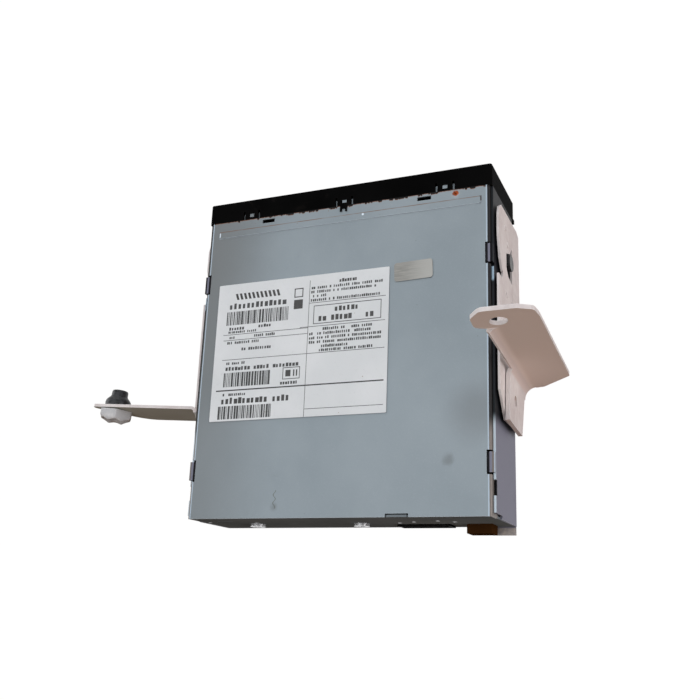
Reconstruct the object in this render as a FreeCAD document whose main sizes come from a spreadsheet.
import FreeCAD, Part
import math
import os
import re

import Sketcher
from FreeCAD import Placement, Rotation, Vector

# Disc changer for a car: a flat sheet-metal case with a black front bezel, two side brackets with
# mounting arms, and inside it a six-tray stocker behind a playing deck with a disc loader.
# Millimetres. X runs along the front, +Y towards the rear, +Z up to the top cover.
# The origin is the middle of the case's underside.

SIZES = {
    # Case
    "case_wide": 177.4,
    "case_deep": 180.0,
    "case_high": 50.0,
    "chassis_sheet": 1.2,
    "chassis_drop": 2.6,
    "cover_sheet": 1.0,
    "cover_lip": 11.0,
    "cover_bend": 1.6,
    "fit_gap": 0.2,
    "run_gap": 0.3,
    "notch_long": 12.4,
    "notch_deep": 2.7,
    "tab_relief": 1.0,
    "notch_front": -50.1,
    "notch_rear": 63.0,
    "slit_long": 8.0,
    "slit_deep": 1.6,
    "slit_front": -46.8,
    "slit_rear": 75.5,
    "front_slot_long": 8.2,
    "front_slot_wide": 2.4,
    "front_slot_left": 48.0,
    "front_slot_right": -49.9,
    "front_slot_y": -87.2,
    "bead_left": 80.8,
    "bead_right": -82.5,
    "bead_y": -81.6,
    "bead_wide": 4.1,
    "bead_high": 0.4,
    "bead_round": 0.9,
    "rear_notch_x": -37.3,
    "rear_notch_long": 12.8,
    "rear_notch_deep": 1.8,
    "corner_notch_low": 34.0,
    "corner_notch_deep": 2.0,
    "tail_inset": 13.2,
    "tail_long": 4.6,
    "tongue_side": 72.0,
    "tongue_deep": 4.3,
    "tongue_sheet": 0.8,
    "nub_high": 0.9,
    # Bezel
    "bezel_deep": 13.0,
    "bezel_below": 4.0,
    "bezel_wall": 1.4,
    "bezel_face": 2.4,
    "bezel_round": 1.5,
    "mouth_wide": 126.0,
    "mouth_high": 6.4,
    "mouth_wall": 1.5,
    "mouth_deep": 8.9,
    "tab_pitch": 60.9,
    "tab_middle": -0.95,
    "tab_wide": 9.9,
    "tab_slit": 1.4,
    "tab_long": 5.6,
    "window_wide": 3.3,
    "window_long": 2.6,
    "fork_wide": 4.3,
    "fork_high": 0.7,
    "corner_foot": 2.0,
    # Shutter behind the mouth
    "shutter_sheet": 1.2,
    "shutter_high": 8.8,
    "shutter_pin_r": 1.0,
    "shutter_barrel_r": 2.0,
    # Side brackets
    "bracket_sheet": 1.2,
    "bracket_gap": 1.2,
    "bracket_front": -82.3,
    "bracket_low": -5.0,
    "bracket_top": 45.8,
    "bracket_rear": 38.5,
    "ear_rear": -43.5,
    "ear_notch": 4.7,
    "ear_notch_floor": 35.4,
    "ear_notch_rise": 3.1,
    "knob_y": -53.5,
    "knob_z": 22.3,
    "knob_r": 4.75,
    "knob_stem_r": 3.2,
    "knob_proud": 1.8,
    "knob_gap": 0.45,
    "knob_slot_front": 12.5,
    "knob_slot_rear": 10.0,
    "knob_slot_low": 8.8,
    "rivet_r": 1.6,
    "rivet_high": 0.5,
    # Mounting arms
    "right_arm_sheet": 2.3,
    "left_arm_sheet": 1.8,
    "right_arm_bend": 6.5,
    "left_arm_bend": 2.0,
    "right_arm_foot": 24.0,
    "left_arm_foot": 18.0,
    "arm_hole_r": 4.4,
    "right_arm_y": 8.7,
    "right_arm_z": 34.5,
    "right_arm_turn": 4.44,
    "right_arm_lean": 5.97,
    "right_arm_reach": 20.6,
    "right_arm_low": -37.6,
    "right_arm_high": 68.5,
    "right_arm_crotch": 48.6,
    "right_foot_high": -0.3,
    "right_arm_curl": 50.0,
    "right_foot_low": -37.0,
    "right_foot_rise": 5.4,
    "left_arm_y": 26.15,
    "left_arm_z": 32.75,
    "left_arm_turn": 4.5,
    "left_arm_lean": 5.74,
    "left_arm_reach": 71.8,
    "left_arm_taper": 47.0,
    "left_arm_top": 11.5,
    "left_arm_low": -12.6,
    "left_foot_drop": 12.0,
    "bolt_reach": 60.3,
    "bolt_z": 2.0,
    "bolt_r": 4.0,
    "bolt_flange_r": 9.2,
    "bolt_head_r": 6.1,
    "bolt_head_high": 10.6,
    "nut_r": 13.2,
    "nut_chamfer": 1.6,
    "nut_high": 5.0,
    # Board, plugs and rear panel
    "board_gap": 2.0,
    "board_sheet": 1.6,
    "board_inset": 10.0,
    "board_post_r": 3.0,
    "board_hole_inset": 6.0,
    "board_front": -30.0,
    "board_rear": 86.0,
    "brown_inset": 16.4,
    "brown_wide": 13.8,
    "brown_top": 16.7,
    "brown_out": 5.0,
    "plug_x": -41.0,
    "plug_wide": 30.0,
    "plug_top": 16.4,
    "plug_depth": 9.0,
    "plug_wall": 1.4,
    "pin_count": 8.0,
    "plug_pin_drop": 5.0,
    "coax_inset": 31.2,
    "coax_right": -7.0,
    "coax_z": 21.0,
    "coax_r": 4.4,
    "coax_bore": 2.1,
    "coax_out": 1.5,
    # Mechanism frame
    "float_gap": 7.5,
    "frame_sheet": 1.2,
    "frame_front": -88.0,
    "frame_rear": 77.5,
    "frame_floor": 8.4,
    "frame_high": 33.6,
    "damper_r": 5.0,
    "damper_z": 15.0,
    "spring_r": 3.6,
    "spring_wire": 0.8,
    # Stocker and its lift
    "disc_z": 25.5,
    "tray_count": 6.0,
    "tray_pitch": 2.4,
    "tray_sheet": 0.8,
    "tray_front": 16.0,
    "tray_bow": 34.0,
    "stocker_inset": 14.8,
    "stocker_front": 30.0,
    "stocker_rear": 76.0,
    "stocker_wall": 1.2,
    "lift_pin_r": 1.5,
    "lift_pin_front": 32.0,
    "lift_pin_rear": 56.0,
    "rod_r": 2.0,
    "rod_inset": 10.8,
    "rod_y": 70.0,
    "cam_inset": 5.8,
    "cam_sheet": 2.0,
    "cam_travel": 9.0,
    "cam_low": 16.5,
    "cam_high": 35.5,
    "module": 0.8,
    "lift_teeth": 8.0,
    "lift_motor_teeth": 10.0,
    "sync_y": 8.0,
    "shaft_r": 1.2,
    "shaft_gap": 0.05,
    "lift_motor_r": 5.5,
    # Disc loader
    "roller_y": -84.0,
    "roller_z": 21.4,
    "roller_end_r": 2.9,
    "roller_mid_r": 2.6,
    "roller_half": 58.0,
    "loader_module": 0.6,
    "roller_teeth": 14.0,
    "idler_teeth": 15.0,
    "loader_teeth": 10.0,
    "idler_angle": 25.0,
    "loader_motor_r": 6.0,
    "gear_wide": 3.0,
    "gear_inset": 9.8,
    "guide_y": -66.0,
    "guide_z": 33.0,
    "guide_front": -82.0,
    "guide_low": 27.2,
    # Playing deck
    "deck_y": -26.0,
    "deck_inset": 8.3,
    "deck_right": -20.0,
    "deck_front": -40.0,
    "deck_back": -10.0,
    "deck_z": 12.4,
    "deck_sheet": 1.2,
    "spindle_r": 11.0,
    "table_r": 13.5,
    "hub_r": 7.3,
    "hub_high": 1.8,
    "rail_r": 1.5,
    "rail_z": 17.0,
    "sled_x": 24.0,
    "sled_half": 9.0,
    "screw_y": -46.5,
    "clamp_y": 10.0,
    "clamp_z": 37.0,
    "clamper_r": 14.0,
}

doc = FreeCAD.newDocument("DiscChanger")
sheet = doc.addObject("Spreadsheet::Sheet", "Sizes")
for row, (name, size) in enumerate(SIZES.items(), start=1):
    sheet.set(f"A{row}", name)
    sheet.set(f"B{row}", str(size))
    sheet.setAlias(f"B{row}", name)
doc.recompute()

nodes = []


# Expressions and shared tools
def linked(text):
    """The expression with each size's name pointed at the sheet."""
    return re.sub(r"[a-z_]+", lambda word: f"Sizes.{word[0]}" if word[0] in SIZES else word[0], str(text))


def value(text):
    return float(sheet.evalExpression(linked(text)))


def bind(thing, prop, text):
    thing.setExpression(prop, linked(text))


def node(thing, name):
    """Registers a finished sub-part under its own label."""
    thing.Label = name
    nodes.append(thing)
    return thing


def new_body(name):
    return node(doc.addObject("PartDesign::Body", name), name)


def new_sketch(body, plane, offset):
    made = body.newObject("Sketcher::SketchObject", body.Name + "_sketch")
    support = next(each for each in body.Origin.OriginFeatures if each.Role == plane + "_Plane")
    made.AttachmentSupport = (support, [""])
    made.MapMode = "FlatFace"
    bind(made, "AttachmentOffset.Base.z", offset)
    return made


def add_outline(made, corners):
    """A closed outline of straight sides whose corners are bound to the sheet."""
    points = [Vector(value(across), value(up), 0) for across, up in corners]
    first = made.GeometryCount
    for start, end in zip(points, points[1:] + points[:1]):
        made.addGeometry(Part.LineSegment(start, end), False)
    count = len(points)
    for index, (across, up) in enumerate(corners):
        here = first + index
        made.addConstraint(Sketcher.Constraint("Coincident", here, 2, first + (index + 1) % count, 1))
        for kind, text in (("DistanceX", across), ("DistanceY", up)):
            number = made.addConstraint(Sketcher.Constraint(kind, -1, 1, here, 1, value(text)))
            bind(made, f"Constraints[{number}]", text)


def add_circle(made, across, up, radius):
    centre = Vector(value(across), value(up), 0)
    here = made.addGeometry(Part.Circle(centre, Vector(0, 0, 1), value(radius)), False)
    for kind, text in (("DistanceX", across), ("DistanceY", up)):
        number = made.addConstraint(Sketcher.Constraint(kind, -1, 1, here, 3, value(text)))
        bind(made, f"Constraints[{number}]", text)
    number = made.addConstraint(Sketcher.Constraint("Radius", here, value(radius)))
    bind(made, f"Constraints[{number}]", radius)


def rectangle(left, right, low, high):
    return [(left, low), (right, low), (right, high), (left, high)]


def polygon(across, up, radius, sides):
    """The corners of an even-sided outline with its corners on a circle."""
    turns = [360 * step / sides for step in range(sides)]
    return [(f"{across} + {radius} * cos({turn} deg)", f"{up} + {radius} * sin({turn} deg)") for turn in turns]


def draw(body, plane, offset, outlines, circles):
    made = new_sketch(body, plane, offset)
    for corners in outlines:
        add_outline(made, corners)
    for across, up, radius in circles:
        add_circle(made, across, up, radius)
    return made


def pad(body, plane, low, high, outlines=(), circles=()):
    """Adds a prism between two places along the plane's own axis."""
    offset = f"-({high})" if plane == "XZ" else low
    made = body.newObject("PartDesign::Pad", body.Name + "_pad")
    made.Profile = draw(body, plane, offset, outlines, circles)
    bind(made, "Length", f"({high}) - ({low})")
    body.Tip = made
    doc.recompute()
    return made


def pocket(body, plane, low, high, outlines=(), circles=()):
    """Cuts a prism between two places along the plane's own axis."""
    offset = f"-({low})" if plane == "XZ" else high
    before = body.Shape.Volume
    made = body.newObject("PartDesign::Pocket", body.Name + "_pocket")
    made.Profile = draw(body, plane, offset, outlines, circles)
    bind(made, "Length", f"({high}) - ({low})")
    body.Tip = made
    doc.recompute()
    if body.Shape.Volume >= before:
        raise ValueError(f"{body.Name}: the pocket {made.Name} cuts nothing")
    return made


def turned(body, plane, offset, outline, axis, kind="Revolution"):
    """Adds or, as a groove, takes away a turned form about the sketch's own vertical or horizontal axis."""
    made = body.newObject("PartDesign::" + kind, body.Name + "_turned")
    profile = draw(body, plane, offset, [outline], [])
    made.Profile = profile
    made.ReferenceAxis = (profile, [axis])
    made.Angle = 360
    body.Tip = made
    doc.recompute()
    return made


AXES = {"X": Vector(1, 0, 0), "Y": Vector(0, 1, 0), "Z": Vector(0, 0, 1)}


def edges_along(shape, axis, places):
    """Names of the straight edges along an axis that pass by the given places in the other two."""
    found = []
    others = [index for index in range(3) if "XYZ"[index] != axis]
    for number, edge in enumerate(shape.Edges, start=1):
        if not isinstance(edge.Curve, Part.Line):
            continue
        along = edge.Vertexes[-1].Point - edge.Vertexes[0].Point
        if along.cross(AXES[axis]).Length > 0.001 * along.Length:
            continue
        middle = edge.CenterOfMass
        for place in places:
            if all(abs(middle[index] - side) < 0.01 for index, side in zip(others, place)):
                found.append(f"Edge{number}")
    return found


def round_edges(body, axis, places, radius):
    """Rounds the edges along an axis at places given by pairs of expressions."""
    where = [tuple(value(side) for side in place) for place in places]
    names = edges_along(body.Shape, axis, where)
    if not names:
        raise ValueError(f"{body.Name}: no edge to round")
    base = body.Tip
    made = body.newObject("PartDesign::Fillet", body.Name + "_round")
    made.Base = (base, names)
    body.Tip = made
    bind(made, "Radius", radius)
    doc.recompute()
    if "Invalid" in made.State:
        raise ValueError(f"{body.Name}: the rounding {made.Name} failed")
    return made


def repeat_along(body, feature, axis, count, length):
    """Repeats one feature along a body's own axis, over a whole length."""
    made = body.newObject("PartDesign::LinearPattern", body.Name + "_row")
    made.Originals = [feature]
    role = axis + "_Axis"
    made.Direction = (next(each for each in body.Origin.OriginFeatures if each.Role == role), [""])
    bind(made, "Length", length)
    made.Occurrences = count
    body.Tip = made
    doc.recompute()
    return made


def block(name, across, along, up):
    """A plain block between two places on each axis."""
    made = doc.addObject("Part::Box", name)
    for side, place, (low, high) in (("Length", "x", across), ("Width", "y", along), ("Height", "z", up)):
        bind(made, side, f"({high}) - ({low})")
        bind(made, f"Placement.Base.{place}", low)
    return made


TURNS = {"X": Rotation(Vector(0, 1, 0), 90), "Y": Rotation(Vector(1, 0, 0), -90), "Z": Rotation()}


def rod(name, axis, radius, length, place):
    """A round bar that starts at a place and runs along +X, +Y or +Z."""
    made = doc.addObject("Part::Cylinder", name)
    made.Placement = Placement(Vector(), TURNS[axis])
    bind(made, "Radius", radius)
    bind(made, "Height", length)
    for side, text in zip("xyz", place):
        bind(made, f"Placement.Base.{side}", text)
    return made


def stud(name, axis, radius, length, place, sides):
    """A bar like a rod, with flat sides."""
    made = doc.addObject("Part::Prism", name)
    made.Polygon = sides
    made.Placement = Placement(Vector(), TURNS[axis])
    bind(made, "Circumradius", radius)
    bind(made, "Height", length)
    for side, text in zip("xyz", place):
        bind(made, f"Placement.Base.{side}", text)
    return made


def fused(name, pieces):
    made = doc.addObject("Part::MultiFuse", name)
    made.Shapes = pieces
    made.Refine = True
    return made


def cut(name, base, tools):
    made = doc.addObject("Part::Cut", name)
    made.Base = base
    made.Tool = tools[0] if len(tools) == 1 else fused(name + "_tools", tools)
    made.Refine = True
    return made


def group(name, pieces):
    """Identical pieces that share one node as separate solids."""
    made = doc.addObject("Part::Compound", name)
    made.Links = pieces
    return node(made, name)


# Places that several pieces share
SIDE = "case_wide / 2"
INNER = "(case_wide / 2 - chassis_sheet)"
FRONT = "(-case_deep / 2)"
REAR = "(case_deep / 2)"
COVER_TOP = "case_high"
COVER_UNDER = "(case_high - cover_sheet)"
COVER_EDGE = "(case_wide / 2 - chassis_sheet - fit_gap)"
BOARD_LOW = "(chassis_sheet + board_gap)"
BOARD_TOP = "(chassis_sheet + board_gap + board_sheet)"
FLOOR_TOP = "(frame_floor + frame_sheet)"
FRAME_TOP = "(frame_floor + frame_high)"
FRAME_SIDE = "(case_wide / 2 - chassis_sheet - float_gap)"
FRAME_INNER = "(case_wide / 2 - chassis_sheet - float_gap - frame_sheet)"
BEZEL_FRONT = "(-case_deep / 2 - bezel_deep)"
BEZEL_SIDE = SIDE
WALL_TOP = "(case_high - chassis_drop)"
BRACKET_NEAR = "(case_wide / 2 + bracket_gap)"
BRACKET_FAR = "(case_wide / 2 + bracket_gap + bracket_sheet)"
BOARD_HALF = f"({FRAME_SIDE} - board_inset)"
BROWN_X = "(brown_inset - case_wide / 2)"
COAX_LEFT = "(case_wide / 2 - coax_inset)"
CAM_X = f"({FRAME_INNER} - cam_inset)"
ROD_X = f"({FRAME_INNER} - rod_inset)"
GEAR_NEAR = f"({FRAME_INNER} - gear_inset)"
DECK_LEFT = f"({FRAME_INNER} - deck_inset)"
STOCKER_HALF = f"({FRAME_INNER} - stocker_inset)"
LIFT_HALF = "((tray_count - 1) / 2 * tray_pitch)"
BORE = "(shaft_r + shaft_gap)"


def board_corners():
    """Where posts of the pan carry the board."""
    return [(across, along) for across in (f"({BOARD_HALF} - board_hole_inset)", f"(board_hole_inset - {BOARD_HALF})")
            for along in ("(board_front + 6)", "(board_rear - 8)")]


# Sheet-metal chassis: pan and two side walls
def make_chassis():
    made = new_body("chassis")
    profile = [
        (f"-{SIDE}", "0"), (SIDE, "0"), (SIDE, WALL_TOP), (INNER, WALL_TOP),
        (INNER, "chassis_sheet"), (f"-{INNER}", "chassis_sheet"), (f"-{INNER}", WALL_TOP), (f"-{SIDE}", WALL_TOP),
    ]
    pad(made, "XZ", FRONT, REAR, [profile])
    round_edges(made, "Y", [(f"-{SIDE}", "0"), (SIDE, "0")], "chassis_sheet")
    slits = [rectangle(f"{middle} - slit_long / 2", f"{middle} + slit_long / 2",
                       f"{WALL_TOP} - slit_deep", f"{WALL_TOP} + 1") for middle in ("slit_front", "slit_rear")]
    corner = rectangle(f"{REAR} - corner_notch_deep", f"{REAR} + 1", "corner_notch_low", f"{WALL_TOP} + 1")
    pocket(made, "YZ", f"-{SIDE} - 1", f"{SIDE} + 1", slits + [corner])
    posts = [polygon(across, along, "board_post_r", 10) for across, along in board_corners()]
    pad(made, "XY", "chassis_sheet", BOARD_LOW, posts)
    tail = rectangle(f"-{SIDE} + 0.4", f"-{SIDE} + tail_inset", f"{REAR} - 1", f"{REAR} + tail_long")
    pad(made, "XY", "0", "chassis_sheet", [tail])
    reach = f"({COVER_EDGE} - notch_deep + run_gap)"
    tab_top = f"({COVER_TOP} - 0.1)"
    hooks = []
    for side in ("", "-"):
        corners = [(SIDE, f"{WALL_TOP} - 1"), (SIDE, tab_top), (reach, tab_top), (reach, COVER_UNDER),
                   (f"({INNER} + 0.1)", COVER_UNDER), (f"({INNER} + 0.1)", f"{WALL_TOP} - 1")]
        hooks.append([(side + across, up) for across, up in corners])
    for middle in ("notch_front", "notch_rear"):
        pad(made, "XZ", f"{middle} - notch_long / 2 + tab_relief", f"{middle} + notch_long / 2 - tab_relief", hooks)
    round_edges(made, "Y", [(SIDE, tab_top), (f"-{SIDE}", tab_top)], "0.8")
    return made


# Top cover: the face that carries the label, with lips inside the chassis walls
def make_cover():
    made = new_body("top_cover")
    lip = "(case_high - cover_lip)"
    inner = f"({COVER_EDGE} - cover_sheet)"
    profile = [
        (f"-{COVER_EDGE}", lip), (f"-{inner}", lip), (f"-{inner}", COVER_UNDER), (inner, COVER_UNDER),
        (inner, lip), (COVER_EDGE, lip), (COVER_EDGE, COVER_TOP), (f"-{COVER_EDGE}", COVER_TOP),
    ]
    pad(made, "XZ", FRONT, REAR, [profile])
    round_edges(made, "Y", [(f"-{COVER_EDGE}", COVER_TOP), (COVER_EDGE, COVER_TOP)], "cover_bend")
    tongue_top = f"({COVER_TOP} - bezel_wall - 0.1)"
    tongue_low = f"({tongue_top} - tongue_sheet)"
    front = f"({FRONT} - tongue_deep)"
    joggle = [(front, tongue_low), (front, tongue_top), (FRONT, tongue_top), (FRONT, COVER_UNDER),
              (f"{FRONT} + 0.6", COVER_UNDER), (f"{FRONT} + 1.6", COVER_UNDER), (f"{FRONT} + 0.9", tongue_low)]
    pad(made, "YZ", "-tongue_side", "tongue_side", [joggle])
    nubs = []
    for step in (-1, 0, 1):
        middle = f"(tab_middle + {step} * tab_pitch)"
        nubs.append(rectangle(f"{middle} - window_wide / 2 + run_gap", f"{middle} + window_wide / 2 - run_gap",
                              f"{FRONT} - tab_long / 2 - window_long / 2 + run_gap",
                              f"{FRONT} - tab_long / 2 + window_long / 2 - run_gap"))
    pad(made, "XY", f"{tongue_top} - 0.2", f"{tongue_top} + nub_high", nubs)
    notches = []
    for middle in ("notch_front", "notch_rear"):
        low = f"{middle} - notch_long / 2"
        high = f"{middle} + notch_long / 2"
        notches.append(rectangle(f"{COVER_EDGE} - notch_deep", f"{COVER_EDGE} + 1", low, high))
        notches.append(rectangle(f"-{COVER_EDGE} - 1", f"-({COVER_EDGE} - notch_deep)", low, high))
    for middle in ("front_slot_left", "front_slot_right"):
        notches.append(rectangle(f"{middle} - front_slot_long / 2", f"{middle} + front_slot_long / 2",
                                 "front_slot_y - front_slot_wide / 2", "front_slot_y + front_slot_wide / 2"))
    notches.append(rectangle("rear_notch_x - rear_notch_long / 2", "rear_notch_x + rear_notch_long / 2",
                             f"{REAR} - rear_notch_deep", f"{REAR} + 1"))
    pocket(made, "XY", f"{lip} - 1", f"{COVER_TOP} + 1", notches)
    bead_low = "bead_y - bead_wide / 2"
    bead_high = "bead_y + bead_wide / 2"
    pad(made, "XY", COVER_TOP, f"{COVER_TOP} + bead_high",
        [rectangle("bead_right", "bead_left", bead_low, bead_high)])
    corners = [(across, along) for across in ("bead_right", "bead_left") for along in (bead_low, bead_high)]
    round_edges(made, "Z", corners, "bead_round")
    return made


# Rear panel with the openings of its plugs
def make_rear_panel():
    made = new_body("rear_panel")
    inside = f"({INNER} - fit_gap)"
    low = "chassis_sheet"
    high = f"{COVER_UNDER} - fit_gap"
    front = f"{REAR} - chassis_sheet"
    pad(made, "XZ", front, REAR, [rectangle(f"-{inside}", inside, low, high)])
    tab_left = "rear_notch_x - rear_notch_long / 2 + 1"
    tab_right = "rear_notch_x + rear_notch_long / 2 - 1"
    pad(made, "XZ", front, REAR, [rectangle(tab_left, tab_right, high, f"{COVER_TOP} - 0.1")])
    for sign in ("", "-"):
        near = f"{sign}({COVER_EDGE} - cover_sheet - fit_gap)"
        far = f"{sign}({SIDE})"
        sides = (near, far) if sign == "" else (far, near)
        pocket(made, "XZ", f"{front} - 1", f"{REAR} + 1",
               [rectangle(sides[0], sides[1], "case_high - cover_lip - fit_gap", "case_high")])
    brown = rectangle(f"{BROWN_X} - brown_wide / 2 - fit_gap", f"{BROWN_X} + brown_wide / 2 + fit_gap",
                      f"{BOARD_TOP} - fit_gap", "brown_top + fit_gap")
    main = rectangle("plug_x - plug_wide / 2 - fit_gap", "plug_x + plug_wide / 2 + fit_gap",
                     f"{BOARD_TOP} - fit_gap", "plug_top + fit_gap")
    vent = rectangle(f"{COAX_LEFT} + 9.5", f"{COAX_LEFT} + 19.5", "34", "36")
    rounds = [(across, "coax_z", "coax_r + fit_gap") for across in (COAX_LEFT, "coax_right")]
    pocket(made, "XZ", f"{front} - 1", f"{REAR} + 1", [brown, main, vent], rounds)
    return made


# Moulded bezel with the disc mouth and its three snap tabs
def make_bezel():
    made = new_body("front_bezel")
    outer = rectangle(f"-{BEZEL_SIDE}", BEZEL_SIDE, "-bezel_below", "case_high")
    inner = rectangle(f"-({BEZEL_SIDE} - bezel_wall)", f"({BEZEL_SIDE} - bezel_wall)",
                      "-bezel_below + bezel_wall", "case_high - bezel_wall")
    face = f"({BEZEL_FRONT} + bezel_face)"
    pad(made, "XZ", BEZEL_FRONT, FRONT, [outer])
    corners = [(across, up) for across in (f"-{BEZEL_SIDE}", BEZEL_SIDE) for up in ("-bezel_below", "case_high")]
    round_edges(made, "Y", corners, "bezel_round")
    rim = [(BEZEL_FRONT, "case_high"), (BEZEL_FRONT, "-bezel_below")]
    round_edges(made, "X", rim, "bezel_round / 2")
    pocket(made, "XZ", face, f"{FRONT} + 1", [inner])
    wide = "mouth_wide / 2"
    low = "disc_z - mouth_high / 2"
    high = "disc_z + mouth_high / 2"
    pad(made, "XZ", face, f"{BEZEL_FRONT} + mouth_deep",
        [rectangle(f"-({wide} + mouth_wall)", f"{wide} + mouth_wall", f"{low} - mouth_wall", f"{high} + mouth_wall")])
    pocket(made, "XZ", f"{BEZEL_FRONT} - 1", f"{BEZEL_FRONT} + mouth_deep + 1",
           [rectangle(f"-{wide}", wide, low, high)])
    pin_z = "(disc_z + mouth_high / 2 + mouth_wall + 1.4)"
    pin_y = "(-case_deep / 2 - bezel_deep + mouth_deep + 1.9)"
    for near, far in ((f"{wide} + 2", f"{wide} + 4"), (f"-({wide} + 4)", f"-({wide} + 2)")):
        pad(made, "YZ", near, far, [rectangle(face, f"{pin_y} + 2", f"{pin_z} - 2.2", f"{pin_z} + 2.2")],
            [(pin_y, pin_z, "shutter_pin_r")])
    slits = []
    for step in (-1, 0, 1):
        middle = f"(tab_middle + {step} * tab_pitch)"
        for side in (-1, 1):
            centre = f"({middle} + {side} * tab_wide / 2)"
            slits.append(rectangle(f"{centre} - tab_slit / 2", f"{centre} + tab_slit / 2",
                                   f"{FRONT} - tab_long", f"{FRONT} + 1"))
        slits.append(rectangle(f"{middle} - window_wide / 2", f"{middle} + window_wide / 2",
                               f"{FRONT} - tab_long / 2 - window_long / 2", f"{FRONT} - tab_long / 2 + window_long / 2"))
    pocket(made, "XY", "case_high - bezel_wall - 1", "case_high + 1", slits)
    fork_top = f"({COVER_TOP} + fork_high)"
    fork = [(f"(tab_middle - fork_wide / 2)", f"({FRONT} - 1.5)"), ("(tab_middle + fork_wide / 2)", f"({FRONT} - 1.5)"),
            ("(tab_middle + fork_wide / 2)", f"({FRONT} + 3.8)"), ("(tab_middle + fork_wide / 4)", f"({FRONT} + 3.8)"),
            ("(tab_middle + fork_wide / 4)", f"({FRONT} + 2)"), ("(tab_middle - fork_wide / 4)", f"({FRONT} + 2)"),
            ("(tab_middle - fork_wide / 4)", f"({FRONT} + 3.8)"), ("(tab_middle - fork_wide / 2)", f"({FRONT} + 3.8)")]
    pad(made, "XY", COVER_TOP, fork_top, [fork])
    foot = [(f"-{BEZEL_SIDE}", "-bezel_below - corner_foot"), (f"-{BEZEL_SIDE} + 2", "-bezel_below - corner_foot"),
            (f"-{BEZEL_SIDE} + 5", "-bezel_below + 0.5"), (f"-{BEZEL_SIDE}", "-bezel_below + 0.5")]
    pad(made, "XZ", f"{FRONT} - 2.5", FRONT, [foot])
    return made, pin_y, pin_z


# Shutter door, hung on a pin behind the mouth
def make_shutter(pin_y, pin_z):
    half = "(mouth_wide / 2 + 1.2)"
    door = new_body("shutter_door")
    sheet_front = f"{pin_y} - 1.6"
    pad(door, "YZ", f"-{half}", half,
        [rectangle(sheet_front, f"{sheet_front} + shutter_sheet", f"{pin_z} - 1 - shutter_high", pin_z)])
    pad(door, "YZ", f"-{half}", half, [], [(pin_y, pin_z, "shutter_barrel_r")])
    pocket(door, "YZ", f"-{half} - 1", f"{half} + 1", [], [(pin_y, pin_z, "shutter_pin_r + shaft_gap")])
    lip_y = f"{sheet_front} + shutter_sheet"
    pad(door, "YZ", f"-{half} + 8", f"{half} - 8",
        [rectangle(lip_y, f"{lip_y} + 0.8", "disc_z - mouth_high / 2 - 0.6", "disc_z - mouth_high / 2")])
    length = "mouth_wide + 8"
    node(rod("pin", "X", "shutter_pin_r", length, ("-mouth_wide / 2 - 4", pin_y, pin_z)), "shutter_pin")


# Side brackets: zinc-plated sheets standing off the chassis walls
def make_bracket(name, side):
    made = new_body(name)
    span = (BRACKET_NEAR, BRACKET_FAR) if side > 0 else (f"-{BRACKET_FAR}", f"-{BRACKET_NEAR}")
    outline = [
        ("bracket_front", "bracket_low + 5"), ("bracket_front", "bracket_top - 7"),
        ("bracket_front + 3", "bracket_top - 2.6"), ("bracket_front + 8", "bracket_top - 0.8"),
        ("bracket_front + 20", "bracket_top - 0.6"), ("ear_rear - 6", "bracket_top - 4"), ("ear_rear", "bracket_top - 9"),
        ("ear_rear", "ear_notch_floor"), ("ear_rear + ear_notch", "ear_notch_floor + ear_notch_rise"),
        ("ear_rear + ear_notch - 0.6", "bracket_top"), ("bracket_rear - 14", "bracket_top"),
        ("bracket_rear", "bracket_top - 12"), ("bracket_rear", "bracket_low"), ("bracket_front + 2", "bracket_low"),
    ]
    pad(made, "YZ", span[0], span[1], [outline])
    front_base = "knob_y - knob_slot_front"
    rear_base = "knob_y + knob_slot_rear"
    low = "knob_z - knob_slot_low"
    window = "(knob_r + knob_gap)"
    opening = [(front_base, low), (rear_base, low), (f"knob_y + {window} + 3", "knob_z + 1"),
               (f"knob_y + {window} - 1", f"knob_z + {window}"), (f"knob_y - {window} + 1", f"knob_z + {window}"),
               (f"knob_y - {window} - 2", "knob_z - 3.5")]
    pocket(made, "YZ", f"{span[0]} - 1", f"{span[1]} + 1", [opening])
    return made


def rivet_places():
    return [("bracket_front + 9.7", "28.8"), ("bracket_front + 18.3", "24.8"), ("ear_rear + 10.6", "28.4"),
            ("ear_rear + 10.7", "13.7")]


def make_bracket_rivets():
    """Each rivet's body is the spacer between wall and bracket, its head lies on the bracket."""
    pieces = []
    for side in (1, -1):
        for number, (along, up) in enumerate(rivet_places()):
            start = SIDE if side > 0 else f"-{BRACKET_NEAR}"
            head = BRACKET_FAR if side > 0 else f"-({BRACKET_FAR} + rivet_high)"
            pieces.append(stud(f"spacer_{side + 1}_{number}", "X", "rivet_r + 0.6", "bracket_gap", (start, along, up), 8))
            pieces.append(stud(f"cap_{side + 1}_{number}", "X", "rivet_r", "rivet_high", (head, along, up), 12))
    group("bracket_rivets", pieces)


def make_knobs():
    """Knurled screws that stand in the brackets' openings and screw into the chassis wall."""
    pieces = []
    for side in (1, -1):
        foot = f"({BRACKET_NEAR} - 0.4)"
        top = f"({BRACKET_FAR} + knob_proud)"
        stem_start, head_start = (SIDE, foot) if side > 0 else (f"-{foot}", f"-{top}")
        stem = stud(f"knob_stem_{side + 1}", "X", "knob_stem_r", f"{foot} - {SIDE}", (stem_start, "knob_y", "knob_z"), 12)
        head = stud(f"knob_head_{side + 1}", "X", "knob_r", f"{top} - {foot}", (head_start, "knob_y", "knob_z"), 24)
        pieces.append(fused(f"knob_{side + 1}", [stem, head]))
    group("bracket_knobs", pieces)


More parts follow.
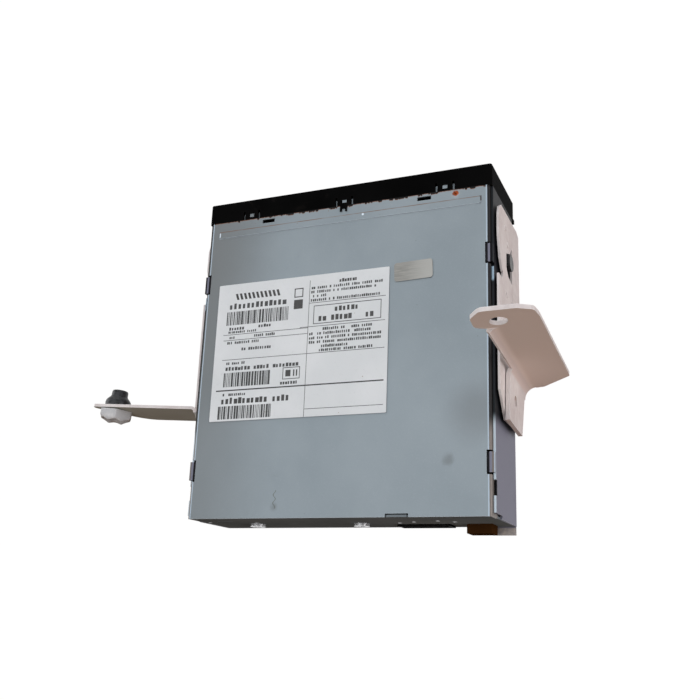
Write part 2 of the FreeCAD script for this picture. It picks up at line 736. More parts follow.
# Mounting arms: one bent sheet each, a foot on the bracket and a shelf that stands out sideways
def arm_frame(name, side):
    """Where the crease of an arm's rear face lies and how the arm is turned."""
    turn = value(f"{name}_turn")
    lean = value(f"{name}_lean")
    crease = value(f"{BRACKET_FAR} + {name}_sheet + {name}_bend")
    place = Vector(side * crease, value(f"{name}_y"), value(f"{name}_z"))
    return Placement(place, Rotation(Vector(0, 0, 1), -side * turn) * Rotation(Vector(1, 0, 0), lean))


def add_bend(made, name, side, low, high, angle, run):
    """The bend from the shelf's rear face, through an angle in degrees, and a flat run after it."""
    inner = value(f"{name}_bend")
    outer = inner + value(f"{name}_sheet")
    centre = Vector(0, inner, 0)

    def on_arc(radius, share):
        turn = math.radians(angle * share)
        return centre + Vector(-side * radius * math.sin(turn), -radius * math.cos(turn), 0)

    heading = math.radians(angle)
    ahead = Vector(-side * math.cos(heading), math.sin(heading), 0) * run
    points = [on_arc(radius, share) for radius in (inner, outer) for share in (0, 0.5, 1)]
    profile = new_sketch(made, "XY", low)
    edges = [Part.Arc(points[0], points[1], points[2]), Part.Arc(points[5], points[4], points[3]),
             Part.LineSegment(points[3], points[0])]
    if run:
        edges += [Part.LineSegment(points[2], points[2] + ahead), Part.LineSegment(points[2] + ahead, points[5] + ahead),
                  Part.LineSegment(points[5] + ahead, points[5])]
    else:
        edges.append(Part.LineSegment(points[2], points[5]))
    for edge in edges:
        profile.addGeometry(edge, False)
    bent = made.newObject("PartDesign::Pad", made.Name + "_bent")
    bent.Profile = profile
    bind(bent, "Length", f"({high}) - ({low})")
    made.Tip = bent
    doc.recompute()


def make_right_arm():
    """Its inner edge curls a little way round the bend; only the foot below goes on round to the bracket."""
    made = new_body("right_arm")
    outline = [
        ("11.1", "right_arm_high - 6.5"), ("5.2", "right_arm_high"), ("-12.5", "right_arm_high - 2.6"),
        ("-right_arm_reach + 1", "right_arm_high - 7.1"), ("-right_arm_reach", "right_arm_high - 14.7"),
        ("-right_arm_reach", "-26.5"), ("-4.5", "right_arm_low"), ("0", "right_arm_low"),
        ("0", "right_arm_crotch"), ("5.8", "right_arm_crotch"), ("11.6", "right_arm_crotch + 3.2"),
    ]
    pad(made, "XZ", "-right_arm_sheet", "0", [outline])
    round_edges(made, "Y", [("11.1", "right_arm_high - 6.5"), ("5.2", "right_arm_high")], "4")
    round_edges(made, "Y", [("-12.5", "right_arm_high - 2.6"), ("-right_arm_reach + 1", "right_arm_high - 7.1"),
                            ("11.6", "right_arm_crotch + 3.2")], "4")
    round_edges(made, "Y", [("-right_arm_reach", "-26.5")], "2")
    square = 90 - value("right_arm_turn")
    add_bend(made, "right_arm", -1, "right_foot_high", "right_arm_crotch", value("right_arm_curl"), 0)
    add_bend(made, "right_arm", -1, "right_foot_low", "right_foot_high", square, value("right_arm_foot"))
    pocket(made, "XZ", "-right_arm_sheet - 1", "1", [], [("-1.3", "55.3", "arm_hole_r")])
    heel = "right_arm_bend"
    toe = "right_arm_bend + right_arm_foot + 1"
    slope = [(heel, "right_foot_low - 1"), (toe, "right_foot_low - 1"), (toe, "right_foot_low + 2 + right_foot_rise"),
             (heel, "right_foot_low + 2")]
    pocket(made, "YZ", "2", "14", [slope], [("15.4", "-13.5", "3")])
    made.Placement = arm_frame("right_arm", -1)


def make_left_arm():
    """Its lower edge sweeps up to a thin tip; the foot's upper edge falls away from the bend."""
    made = new_body("left_arm")
    tip = "left_arm_reach"
    outline = [("0", "left_arm_low"), ("left_arm_taper", "left_arm_low - 0.6"), (tip, "left_arm_top - 3.4"),
               (tip, "left_arm_top"), ("0", "left_arm_top")]
    pad(made, "XZ", "-left_arm_sheet", "0", [outline])
    round_edges(made, "Y", [("left_arm_taper", "left_arm_low - 0.6")], "26")
    round_edges(made, "Y", [(tip, "left_arm_top")], "2")
    add_bend(made, "left_arm", 1, "left_arm_low", "left_arm_top", 90 - value("left_arm_turn"), value("left_arm_foot"))
    heel = "left_arm_bend"
    toe = "left_arm_bend + left_arm_foot + 1"
    slope = [(heel, "left_arm_top + 1"), (heel, "left_arm_top - 1"), (f"{heel} + 4", "left_arm_top - left_foot_drop / 2"),
             (toe, "left_arm_top - left_foot_drop"), (toe, "left_arm_top + 1")]
    pocket(made, "YZ", "-6", "-0.5", [slope])
    pocket(made, "XZ", "-left_arm_sheet - 1", "1", [], [("bolt_reach", "bolt_z", "bolt_r + fit_gap")])
    made.Placement = arm_frame("left_arm", 1)


def make_arm_bolt():
    """Flange bolt through the left arm, its bell flange and head in front, and a chamfered nut behind."""
    bolt = new_body("arm_bolt")
    seat = "-left_arm_sheet"
    top = f"({seat} - bolt_head_high)"
    profile = [
        ("0", "nut_high - 0.4"), ("bolt_r", "nut_high - 0.4"), ("bolt_r", seat), ("bolt_flange_r", seat),
        ("bolt_flange_r", f"{seat} - 1.4"), ("bolt_head_r + 0.6", f"{seat} - 3.8"), ("bolt_head_r", f"{seat} - 5.6"),
        ("bolt_head_r", f"{top} + 1"), ("bolt_head_r - 1", top), ("0", top),
    ]
    turned(bolt, "XY", "0", profile, "V_Axis")
    nut = new_body("arm_nut")
    corners = [(f"nut_r * sin({60 * step} deg)", f"nut_r * cos({60 * step} deg)") for step in range(6)]
    pad(nut, "XZ", "0", "nut_high", [corners], [("0", "0", "bolt_r + fit_gap")])
    edge = "(nut_r - 2.2 * nut_chamfer)"
    turned(nut, "XY", "0", [(edge, "nut_high + 1"), (edge, "nut_high"), ("nut_r + 1", f"nut_high - nut_chamfer - 0.6"),
                            ("nut_r + 1", "nut_high + 1")], "V_Axis", "Groove")
    frame = arm_frame("left_arm", 1)
    seated = Placement(frame.multVec(Vector(value("bolt_reach"), 0, value("bolt_z"))), frame.Rotation)
    bolt.Placement = seated
    nut.Placement = seated


# Circuit board with its parts and plugs
def make_board():
    made = new_body("main_board")
    outlines = [rectangle(f"-{BOARD_HALF}", BOARD_HALF, "board_front", "board_rear")]
    outlines += [polygon(across, along, "board_post_r / 2", 8) for across, along in board_corners()]
    pad(made, "XY", BOARD_LOW, BOARD_TOP, outlines)
    chips = []
    for number, (across, along, wide, high) in enumerate(
            ((-30, 20, 20, 1.6), (10, 30, 26, 1.8), (40, 5, 14, 1.4), (-8, -14, 12, 1.4), (48, 48, 10, 1.6))):
        chips.append(block(f"chip_{number}", (f"{across} - {wide / 2}", f"{across} + {wide / 2}"),
                           (f"{along} - {wide / 2}", f"{along} + {wide / 2}"), (BOARD_TOP, f"{BOARD_TOP} + {high}")))
    group("board_chips", chips)
    cans = []
    for number, (across, along) in enumerate(((60, 28), (60, 38), (28, -14), (-54, 4), (-54, 14), (20, 60))):
        cans.append(stud(f"can_{number}", "Z", "3", "2.8", (str(across), str(along), BOARD_TOP), 12))
    group("board_capacitors", cans)


def make_plugs():
    brown = new_body("brown_connector")
    low = BOARD_TOP
    inner_y = f"{REAR} - 10"
    outer_y = f"{REAR} + brown_out"
    left, right = f"{BROWN_X} - brown_wide / 2", f"{BROWN_X} + brown_wide / 2"
    pad(brown, "XZ", inner_y, outer_y, [rectangle(left, right, low, "brown_top")])
    pocket(brown, "XZ", f"{outer_y} - 8", f"{outer_y} + 1",
           [rectangle(f"{left} + 1.4", f"{right} - 1.4", f"{low} + 1.4", "brown_top - 1.4")])
    main = new_body("main_connector")
    left, right = "plug_x - plug_wide / 2", "plug_x + plug_wide / 2"
    outer_y = f"{REAR} + 1"
    pad(main, "XZ", f"{outer_y} - 13", outer_y, [rectangle(left, right, low, "plug_top")])
    pocket(main, "XZ", f"{outer_y} - plug_depth", f"{outer_y} + 1",
           [rectangle(f"{left} + plug_wall", f"{right} - plug_wall", f"{low} + plug_wall", "plug_top - plug_wall")])
    pins = []
    count = round(value("pin_count"))
    for line, up in enumerate((f"{low} + 3.6", "plug_top - 4.4")):
        for number in range(count):
            middle = f"({left} + plug_wide * {number + 0.5} / pin_count)"
            pins.append(block(f"pin_{line}_{number}", (f"{middle} - 0.4", f"{middle} + 0.4"),
                              (f"{outer_y} - plug_depth", f"{outer_y} - plug_pin_drop"), (up, f"{up} + 0.8")))
    group("connector_pins", pins)
    sockets = []
    for number, across in enumerate((COAX_LEFT, "coax_right")):
        shell = rod(f"shell_{number}", "Y", "coax_r", "coax_out + 7", (across, f"{REAR} - 7", "coax_z"))
        bore = rod(f"bore_{number}", "Y", "coax_bore", "coax_out + 7.5", (across, f"{REAR} - 6.5", "coax_z"))
        sockets.append(cut(f"socket_{number}", shell, [bore]))
    group("coax_sockets", sockets)


# Frame of the mechanism, floated in the case
def make_frame():
    made = new_body("mech_base")
    profile = [
        (f"-{FRAME_SIDE}", "frame_floor"), (FRAME_SIDE, "frame_floor"), (FRAME_SIDE, f"{FRAME_TOP} - frame_sheet"),
        (FRAME_INNER, f"{FRAME_TOP} - frame_sheet"), (FRAME_INNER, FLOOR_TOP), (f"-{FRAME_INNER}", FLOOR_TOP),
        (f"-{FRAME_INNER}", f"{FRAME_TOP} - frame_sheet"), (f"-{FRAME_SIDE}", f"{FRAME_TOP} - frame_sheet"),
    ]
    pad(made, "XZ", "frame_front", "frame_rear", [profile])
    pocket(made, "XY", "frame_floor - 1", f"{FLOOR_TOP} + 1",
           [rectangle("-44", "44", "stocker_front + 4", "stocker_rear - 12"),
            rectangle("-64", "-30", "frame_front + 10", "sync_y - 12")])
    pocket(made, "YZ", f"-{FRAME_SIDE} - 1", f"{FRAME_SIDE} + 1", [],
           [("sync_y", SYNC_Z, BORE), ("roller_y", "roller_z", BORE)])
    pad(made, "YZ", f"{GEAR_NEAR} - 1", FRAME_INNER, [], [(IDLER_Y, IDLER_Z, "shaft_r")])
    lid = new_body("mech_top")
    pad(lid, "XY", f"{FRAME_TOP} - frame_sheet", FRAME_TOP,
        [rectangle(f"-{FRAME_SIDE}", FRAME_SIDE, "guide_y - 6", "frame_rear"),
         rectangle("-34", "34", "deck_y - 20", "clamp_y - 6"),
         rectangle("-46", "46", "stocker_front", "stocker_rear - 10")])
    under = f"{FRAME_TOP} - frame_sheet"
    for across, along, up in ((24, "clamp_y", "clamp_z"), (60.5, "guide_y", "guide_z")):
        for near in (f"{across}", f"-{across} - 1.6"):
            lug = rectangle(f"{along} - 3", f"{along} + 3", f"{up} - 2.6", under)
            pad(lid, "YZ", near, f"{near} + 1.6", [lug, polygon(along, up, "shaft_r * 1.04", 12)])
    dampers = []
    for number, (side, along) in enumerate(((1, -70), (1, 66), (-1, -70), (-1, 66))):
        start = FRAME_SIDE if side > 0 else f"-{INNER}"
        dampers.append(stud(f"damper_{number}", "X", "damper_r", f"{INNER} - {FRAME_SIDE}",
                            (start, str(along), "damper_z"), 12))
    group("dampers", dampers)
    screws = []
    for number, (side, along) in enumerate(((1, -50), (1, 60), (-1, -50), (-1, 60))):
        place = (f"{side} * ({FRAME_SIDE} - 4)", str(along), FRAME_TOP)
        screws.append(stud(f"lid_head_{number}", "Z", "2", "1.2", place, 6))
    group("mech_screws", screws)
    rods = []
    for side in (1, -1):
        rods.append(rod(f"post_{side + 1}", "Z", "rod_r", f"{FRAME_TOP} - frame_sheet - {FLOOR_TOP}",
                        (f"{side} * {ROD_X}", "rod_y", FLOOR_TOP)))
    group("stocker_guides", rods)
    pins = [rod("clamp_hinge_pin", "X", "shaft_r", "51.2", ("-25.6", "clamp_y", "clamp_z")),
            rod("guide_hinge_pin", "X", "shaft_r", "124.2", ("-62.1", "guide_y", "guide_z"))]
    group("hinge_pins", pins)


def make_float_springs():
    """Plain closed sleeves where the short springs under the mechanism stand."""
    pieces = []
    for number, (side, along) in enumerate(((1, -76), (1, 40), (-1, -76), (-1, 40))):
        place = (f"{side} * ({FRAME_SIDE} - spring_r - 0.4)", str(along), "chassis_sheet")
        outer = stud(f"spring_outer_{number}", "Z", "spring_r", "frame_floor - chassis_sheet", place, 10)
        inner = stud(f"spring_inner_{number}", "Z", "spring_r - spring_wire", "frame_floor - chassis_sheet", place, 10)
        pieces.append(cut(f"spring_{number}", outer, [inner]))
    group("float_springs", pieces)


# Gears: a plain wheel with one tooth gap cut and repeated round its axis
def gear_radius(teeth, module):
    return f"({teeth} * {module} / 2)"


def make_gear(body, teeth, module, low, high, bore):
    """A spur gear on the body's X axis; the first tooth gap is centred on the body's +Y axis."""
    pitch = gear_radius(teeth, module)
    tip = f"({pitch} + 0.35 * {module})"
    root = f"({pitch} - 0.75 * {module})"
    angle = f"(360 deg / {teeth})"
    circles = [("0", "0", bore)] if bore else []
    pad(body, "YZ", low, high, [polygon("0", "0", tip, 2 * round(value(teeth)))], circles)
    gap = [(f"{root}", f"-{root} * tan(0.19 * {angle})"), (f"{tip} + 0.5", f"-({tip} + 0.5) * tan(0.36 * {angle})"),
           (f"{tip} + 0.5", f"({tip} + 0.5) * tan(0.36 * {angle})"), (f"{root}", f"{root} * tan(0.19 * {angle})")]
    tooth_gap = pocket(body, "YZ", f"{low} - 1", f"{high} + 1", [gap])
    pattern = body.newObject("PartDesign::PolarPattern", body.Name + "_teeth")
    pattern.Originals = [tooth_gap]
    axis = next(each for each in body.Origin.OriginFeatures if each.Role == "X_Axis")
    pattern.Axis = (axis, [""])
    pattern.Angle = 360
    pattern.Occurrences = round(value(teeth))
    body.Tip = pattern
    doc.recompute()


def place_gear(body, along, up, turn):
    """Sets the gear's centre and turns it about X, in degrees."""
    body.Placement = Placement(Vector(0, value(along), value(up)), Rotation(Vector(1, 0, 0), turn))
    bind(body, "Placement.Base.y", along)
    bind(body, "Placement.Base.z", up)


LIFT_R = gear_radius("lift_teeth", "module")
LIFT_MOTOR_R = gear_radius("lift_motor_teeth", "module")
SYNC_Z = f"(cam_low + 0.4 - {LIFT_R})"
LIFT_MOTOR_Z = f"({FLOOR_TOP} + run_gap + lift_motor_r)"
LIFT_MOTOR_Y = f"(sync_y - sqrt(({LIFT_R} + {LIFT_MOTOR_R})^2 - ({LIFT_MOTOR_Z} - {SYNC_Z})^2))"
IDLER_REACH = "((roller_teeth + idler_teeth) * loader_module / 2)"
IDLER_Y = f"(roller_y + {IDLER_REACH} * cos(idler_angle * 1 deg))"
IDLER_Z = f"(roller_z - {IDLER_REACH} * sin(idler_angle * 1 deg))"
LOADER_REACH = "((idler_teeth + loader_teeth) * loader_module / 2)"
LOADER_Z = f"({FLOOR_TOP} + run_gap + loader_motor_r)"
LOADER_Y = f"({IDLER_Y} + sqrt({LOADER_REACH}^2 - ({LOADER_Z} - {IDLER_Z})^2))"
GEAR_FAR = f"({GEAR_NEAR} + gear_wide)"


# Stocker: the frame of trays, lifted by pins in two sliding cams
def make_stocker():
    made = new_body("stocker_frame")
    half = STOCKER_HALF
    stack = f"({LIFT_HALF} + tray_pitch / 2)"
    low = f"(disc_z - {stack} - 1)"
    high = f"(disc_z + {stack} + 1)"
    wall = f"({half} - stocker_wall)"
    pad(made, "XY", low, high, [rectangle(f"-{half}", half, "stocker_front", "stocker_rear")])
    pocket(made, "XY", f"{low} + 1", f"{high} - 1",
           [rectangle(f"-{wall}", wall, "stocker_front - 1", "stocker_rear - stocker_wall")])
    pocket(made, "XY", f"{low} - 1", f"{high} + 1",
           [rectangle(f"-{wall} + 14", f"{wall} - 14", "stocker_front - 1", "stocker_rear - 12")])
    lug = [rectangle(f"{ROD_X} - 4", f"{ROD_X} + 3", "rod_y - 3.2", "rod_y + 3.2"),
           rectangle(f"-{ROD_X} - 3", f"-{ROD_X} + 4", "rod_y - 3.2", "rod_y + 3.2")]
    holes = [(side + ROD_X, "rod_y", "rod_r + shaft_gap") for side in ("", "-")]
    pad(made, "XY", "disc_z - 2.5", "disc_z + 2.5", lug, holes)
    reach = f"{CAM_X} + cam_sheet / 2 + 1"
    for along in ("lift_pin_front", "lift_pin_rear"):
        pad(made, "YZ", half, reach, [], [(along, "disc_z", "lift_pin_r")])
        pad(made, "YZ", f"-({reach})", f"-{half}", [], [(along, "disc_z", "lift_pin_r")])
    rib_low = f"disc_z - {LIFT_HALF} - tray_sheet / 2 - 1"
    ribs = []
    for near, far in ((f"{wall} - 1.2", wall), (f"-{wall}", f"-{wall} + 1.2")):
        ribs.append(rectangle(near, far, "stocker_front + 4", "stocker_rear - stocker_wall"))
    for rib in ribs:
        shelf = pad(made, "XY", rib_low, f"{rib_low} + 0.7", [rib])
        repeat_along(made, shelf, "Z", round(value("tray_count")), f"2 * {LIFT_HALF}")


def make_trays():
    """Half-moon trays, one above another, each open at the front for the spindle."""
    half = f"({STOCKER_HALF} - stocker_wall - run_gap)"
    back = "stocker_rear - stocker_wall - run_gap"
    for step in range(round(value("tray_count"))):
        made = new_body(f"disc_tray_{step + 1}")
        middle = f"(disc_z + ({step} - (tray_count - 1) / 2) * tray_pitch)"
        pad(made, "XY", f"{middle} - tray_sheet / 2", f"{middle} + tray_sheet / 2",
            [rectangle(f"-{half}", half, "tray_front", back)])
        round_edges(made, "Z", [(half, "tray_front"), (f"-{half}", "tray_front")], "6")
        pocket(made, "XY", f"{middle} - 2", f"{middle} + 2", [], [("0", "tray_front - 6", "tray_bow")])


def make_cam(name, side):
    """A plate that slides fore and aft: two slanted slots lift the stocker's pins, a rack drives it."""
    made = new_body(name)
    near, far = f"{CAM_X} - cam_sheet / 2", f"{CAM_X} + cam_sheet / 2"
    span = (near, far) if side > 0 else (f"-({far})", f"-({near})")
    front, rear = "lift_pin_front - cam_travel - 4", "lift_pin_rear + cam_travel + 4"
    strip = "sync_y - cam_travel - 4"
    outline = [(strip, "cam_low"), (rear, "cam_low"), (rear, "cam_high"), (front, "cam_high"),
               (front, "cam_low + 3.4"), (strip, "cam_low + 3.4")]
    pad(made, "YZ", span[0], span[1], [outline])
    slot_r = "(lift_pin_r + 0.15)"
    rise = f"({LIFT_HALF} / cam_travel)"
    slope = f"atan({rise})"
    for along in ("lift_pin_front", "lift_pin_rear"):
        reach = "(cam_travel + 0.4)"
        off_y = f"({slot_r} * sin({slope}))"
        off_z = f"({slot_r} * cos({slope}))"
        band = [(f"{along} - {reach} - {off_y}", f"disc_z - {reach} * {rise} + {off_z}"),
                (f"{along} - {reach} + {off_y}", f"disc_z - {reach} * {rise} - {off_z}"),
                (f"{along} + {reach} + {off_y}", f"disc_z + {reach} * {rise} - {off_z}"),
                (f"{along} + {reach} - {off_y}", f"disc_z + {reach} * {rise} + {off_z}")]
        pocket(made, "YZ", f"{span[0]} - 1", f"{span[1]} + 1", [band])
        for end in (-1, 1):
            pocket(made, "YZ", f"{span[0]} - 1", f"{span[1]} + 1", [],
                   [(f"{along} + {end} * {reach}", f"disc_z + {end} * {reach} * {rise}", slot_r)])
    pitch = "(3.14159265 * module)"
    count = 2 * math.ceil(value(f"(cam_travel + 1) / {pitch}")) + 1
    first = f"(sync_y - {(count - 1) / 2} * {pitch})"
    deep = "(cam_low + 0.4 + 0.75 * module)"
    gap = [(f"{first} - 0.36 * {pitch}", "cam_low - 0.1"), (f"{first} + 0.36 * {pitch}", "cam_low - 0.1"),
           (f"{first} + 0.22 * {pitch}", deep), (f"{first} - 0.22 * {pitch}", deep)]
    tooth_gap = pocket(made, "YZ", f"{span[0]} - 1", f"{span[1]} + 1", [gap])
    repeat_along(made, tooth_gap, "Y", count, f"{count - 1} * {pitch}")


def make_lift_drive():
    """Cross shaft whose two pinions drive both cams, and its motor."""
    shaft = doc.addObject("PartDesign::Body", "sync_bar")
    pad(shaft, "YZ", f"-{FRAME_SIDE} + 0.4", f"{FRAME_SIDE} - 0.4", [], [("0", "0", "shaft_r")])
    pinions = []
    upright = 90 + 180 / value("lift_teeth")
    for number, (low, high) in enumerate(((f"{CAM_X} - 2", f"{CAM_X} + 2"), (f"-{CAM_X} - 2", f"-{CAM_X} + 2"), ("56", "59"))):
        gear = doc.addObject("PartDesign::Body", f"lift_pinion_{number}")
        make_gear(gear, "lift_teeth", "module", low, high, None)
        gear.Placement = Placement(Vector(), Rotation(Vector(1, 0, 0), upright))
        pinions.append(gear)
    joined = fused("sync_joined", [shaft] + pinions)
    joined.Placement = Placement(Vector(0, value("sync_y"), value(SYNC_Z)), Rotation())
    bind(joined, "Placement.Base.y", "sync_y")
    bind(joined, "Placement.Base.z", SYNC_Z)
    node(joined, "sync_shaft")
    motor = rod("lift_can", "X", "lift_motor_r", "20", ("33", LIFT_MOTOR_Y, LIFT_MOTOR_Z))
    bore = stud("lift_can_bore", "X", "0.95", "4", ("50", LIFT_MOTOR_Y, LIFT_MOTOR_Z), 8)
    node(cut("lift_motor_body", motor, [bore]), "lift_motor")
    pinion = new_body("lift_motor_pinion")
    make_gear(pinion, "lift_motor_teeth", "module", "56", "59", None)
    pad(pinion, "YZ", "50.4", "56", [polygon("0", "0", "0.8", 8)])
    heading = math.degrees(math.atan2(value(f"{LIFT_MOTOR_Z} - {SYNC_Z}"), value(f"{LIFT_MOTOR_Y} - sync_y")))
    turn = mesh_turn(upright, value("lift_teeth"), value("lift_motor_teeth"), heading)
    place_gear(pinion, LIFT_MOTOR_Y, LIFT_MOTOR_Z, turn)


def mesh_turn(driver_turn, driver_teeth, teeth, heading):
    """The turn that puts a tooth of this gear into the driver's gap along their line of centres.

    The heading is the direction from the driver to this gear, in degrees from +Y towards +Z."""
    driver_phase = (heading - driver_turn) / (360 / driver_teeth)
    return heading + 180 + (driver_phase % 1 + 0.5) * 360 / teeth


# Loader: a driven rubber roller under the disc and a sprung guide above it
def make_loader():
    bar = doc.addObject("PartDesign::Body", "roller_bar")
    pad(bar, "YZ", f"-{FRAME_SIDE} + 0.4", f"{FRAME_SIDE} - 0.4", [], [("0", "0", "shaft_r")])
    wheel = doc.addObject("PartDesign::Body", "roller_wheel")
    make_gear(wheel, "roller_teeth", "loader_module", GEAR_NEAR, GEAR_FAR, None)
    joined = fused("roller_joined", [bar, wheel])
    joined.Placement = Placement(Vector(0, value("roller_y"), value("roller_z")), Rotation())
    bind(joined, "Placement.Base.y", "roller_y")
    bind(joined, "Placement.Base.z", "roller_z")
    node(joined, "roller_shaft")
    roller = new_body("feed_roller")
    half = "roller_half"
    for low, high, radius in ((f"-{half}", "-24", "roller_end_r"), ("-24", "24", "roller_mid_r"),
                              ("24", half, "roller_end_r")):
        pad(roller, "YZ", low, high, [], [("0", "0", radius), ("0", "0", BORE)])
    place_gear(roller, "roller_y", "roller_z", 0)
    idler = new_body("idler_gear")
    make_gear(idler, "idler_teeth", "loader_module", GEAR_NEAR, GEAR_FAR, BORE)
    heading = -value("idler_angle")
    idler_turn = mesh_turn(0, value("roller_teeth"), value("idler_teeth"), heading)
    place_gear(idler, IDLER_Y, IDLER_Z, idler_turn)
    pinion = new_body("loader_pinion")
    make_gear(pinion, "loader_teeth", "loader_module", GEAR_NEAR, GEAR_FAR, None)
    pad(pinion, "YZ", f"{GEAR_NEAR} - 5.6", GEAR_NEAR, [polygon("0", "0", "0.8", 8)])
    heading = math.degrees(math.atan2(value(f"{LOADER_Z} - {IDLER_Z}"), value(f"{LOADER_Y} - {IDLER_Y}")))
    pinion_turn = mesh_turn(idler_turn, value("idler_teeth"), value("loader_teeth"), heading)
    place_gear(pinion, LOADER_Y, LOADER_Z, pinion_turn)
    motor = rod("loader_can", "X", "loader_motor_r", "24", (f"{GEAR_NEAR} - 27", LOADER_Y, LOADER_Z))
    bore = stud("loader_can_bore", "X", "0.95", "4", (f"{GEAR_NEAR} - 6", LOADER_Y, LOADER_Z), 8)
    node(cut("loader_motor_body", motor, [bore]), "loader_motor")


def make_disc_guide():
    made = new_body("disc_guide")
    outline = [("guide_front", "guide_low"), ("guide_front + 3", "guide_low"), ("guide_y + 1", "guide_z - 1.4"),
               ("guide_y + 1", "guide_z"), ("guide_y - 1", "guide_z + 0.4"), ("guide_front + 2", "guide_low + 1.4"),
               ("guide_front", "guide_low + 1.4")]
    pad(made, "YZ", "-58", "58", [outline])
    pad(made, "YZ", "-60", "60", [], [("guide_y", "guide_z", "shaft_r + 1.2")])
    pocket(made, "YZ", "-61", "61", [], [("guide_y", "guide_z", BORE)])


# Playing deck: spindle, sled on two rails, lens, and the clamp above
def make_deck():
    made = new_body("deck_plate")
    top = "(deck_z + deck_sheet)"
    window = rectangle("sled_x - sled_half - 1", f"{DECK_LEFT} - 8", "deck_front + 6", "deck_back - 6")
    pad(made, "XY", "deck_z", top, [rectangle("deck_right", DECK_LEFT, "deck_front", "deck_back"), window])
    feet = [polygon(across, along, "2.4", 8) for across in ("deck_right + 3", f"{DECK_LEFT} - 3")
            for along in ("deck_front + 3", "deck_back - 3")]
    pad(made, "XY", FLOOR_TOP, "deck_z", feet)
    for along in ("deck_front + 3", "deck_back - 3"):
        seat = [(f"{along} - 2.4", top), (f"{along} + 2.4", top), (f"{along} + 2.4", "rail_z + 1"),
                (f"{along} + rail_r", "rail_z + 1"), (f"{along} + rail_r", "rail_z - rail_r"),
                (f"{along} - rail_r", "rail_z - rail_r"), (f"{along} - rail_r", "rail_z + 1"),
                (f"{along} - 2.4", "rail_z + 1")]
        for near in ("12", f"{DECK_LEFT} - 2"):
            pad(made, "YZ", near, f"{near} + 2", [seat])
    rails = []
    for number, along in enumerate(("deck_front + 3", "deck_back - 3")):
        rails.append(rod(f"rail_{number}", "X", "rail_r", f"{DECK_LEFT} - 12", ("12", along, "rail_z")))
    group("sled_rails", rails)
    stator = rod("stator", "Z", "spindle_r", "4.4", ("0", "deck_y", top))
    hole = stud("stator_bore", "Z", "1.4", "5", ("0", "deck_y", f"{top} + 0.4"), 12)
    node(cut("stator_cut", stator, [hole]), "spindle_motor")
    table = new_body("turntable")
    disc_low = "disc_z - 0.9"
    profile = [("0", f"{top} + 0.7"), ("1.2", f"{top} + 0.7"), ("1.2", f"{top} + 4.9"), ("table_r", f"{top} + 4.9"),
               ("table_r", disc_low), ("hub_r", disc_low), ("hub_r", f"{disc_low} + hub_high"),
               ("0", f"{disc_low} + hub_high")]
    turned(table, "XZ", "0", profile, "V_Axis")
    table.Placement = Placement(Vector(0, value("deck_y"), 0), Rotation())
    bind(table, "Placement.Base.y", "deck_y")


def make_sled():
    made = new_body("pickup_sled")
    left, right = "sled_x - sled_half", "sled_x + sled_half"
    front, back = "deck_front + 0.6", "deck_back - 0.6"
    pad(made, "XY", "rail_z - 2.2", "rail_z + 2.6", [rectangle(left, right, front, back)])
    pocket(made, "XY", "rail_z + 0.8", "rail_z + 3",
           [rectangle(f"{left} + 2", f"{right} - 2", "deck_y - 8", "deck_y + 8")])
    pad(made, "XY", "rail_z - 1.2", "rail_z + 1.2",
        [rectangle("sled_x - 4", "sled_x + 4", "screw_y + rail_r + run_gap", front)])
    pocket(made, "YZ", f"{left} - 1", f"{right} + 1", [],
           [(along, "rail_z", "rail_r + shaft_gap") for along in ("deck_front + 3", "deck_back - 3")])
    screw = rod("lead", "X", "rail_r", f"{DECK_LEFT} - 14.9", ("14.4", "screw_y", "rail_z"))
    node(screw, "feed_screw")
    motor = rod("sled_can", "X", "4.6", "14", ("0", "screw_y", "rail_z"))
    node(motor, "sled_motor")
    holder = new_body("lens_holder")
    low = "rail_z + 1.1"
    pad(holder, "XY", low, f"{low} + 1.8", [rectangle("sled_x - 5", "sled_x + 5", "deck_y - 6", "deck_y + 6")])
    pad(holder, "XY", f"{low} + 1.8", f"{low} + 4.2", [], [("sled_x", "deck_y", "4.2"), ("sled_x", "deck_y", "3")])
    node(rod("lens", "Z", "2.95", "1.6", ("sled_x", "deck_y", f"{low} + 1.9")), "objective_lens")


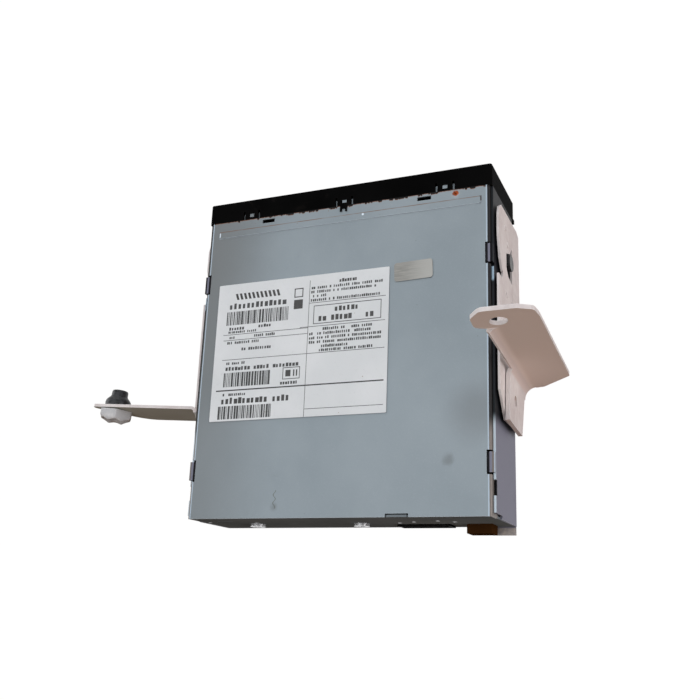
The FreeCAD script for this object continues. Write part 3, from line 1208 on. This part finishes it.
def make_clamp():
    made = new_body("clamp_arm")
    low, high = "clamp_z - 0.6", "clamp_z + 0.6"
    pad(made, "XY", low, high, [rectangle("-16", "16", "deck_y - 14", "clamp_y")], [])
    round_edges(made, "Z", [("16", "deck_y - 14"), ("-16", "deck_y - 14")], "8")
    pad(made, "YZ", "-23.6", "23.6", [], [("clamp_y", "clamp_z", "shaft_r + 1")])
    pocket(made, "YZ", "-24", "24", [], [("clamp_y", "clamp_z", BORE)])
    pocket(made, "XY", f"{low} - 1", f"{high} + 1", [], [("0", "deck_y", "6")])
    puck = new_body("disc_clamper")
    under = "clamp_z - 6.4"
    profile = [("0", f"{under} + 1.2"), ("9", f"{under} + 1.2"), ("9", under), ("clamper_r", under),
               ("clamper_r", f"{under} + 2.4"), ("5.4", f"{under} + 2.4"), ("5.4", f"{high} + run_gap"),
               ("8", f"{high} + run_gap"), ("8", f"{high} + run_gap + 1.1"), ("0", f"{high} + run_gap + 1.1")]
    turned(puck, "XZ", "0", profile, "V_Axis")
    puck.Placement = Placement(Vector(0, value("deck_y"), 0), Rotation())
    bind(puck, "Placement.Base.y", "deck_y")


make_chassis()
make_cover()
make_rear_panel()
bezel, hinge_y, hinge_z = make_bezel()
make_shutter(hinge_y, hinge_z)
make_bracket("left_bracket", 1)
make_bracket("right_bracket", -1)
make_bracket_rivets()
make_knobs()
make_right_arm()
make_left_arm()
make_arm_bolt()
make_board()
make_plugs()
make_frame()
make_float_springs()
make_stocker()
make_trays()
make_cam("cam_left", 1)
make_cam("cam_right", -1)
make_lift_drive()
make_loader()
make_disc_guide()
make_deck()
make_sled()
make_clamp()
doc.recompute()

for thing in doc.Objects:
    if "Invalid" in thing.State or "Error" in thing.State:
        raise ValueError(f"{thing.Label} did not build: {thing.State}")
for piece in nodes:
    if piece.Shape.isNull() or not piece.Shape.isValid():
        raise ValueError(f"{piece.Label} has no valid shape")

os.makedirs("parts", exist_ok=True)
for piece in nodes:
    piece.Shape.exportStep(f"parts/{piece.Label}.step")
    print(piece.Label, len(piece.Shape.Solids), round(piece.Shape.Volume, 1))
print("nodes", len(nodes))
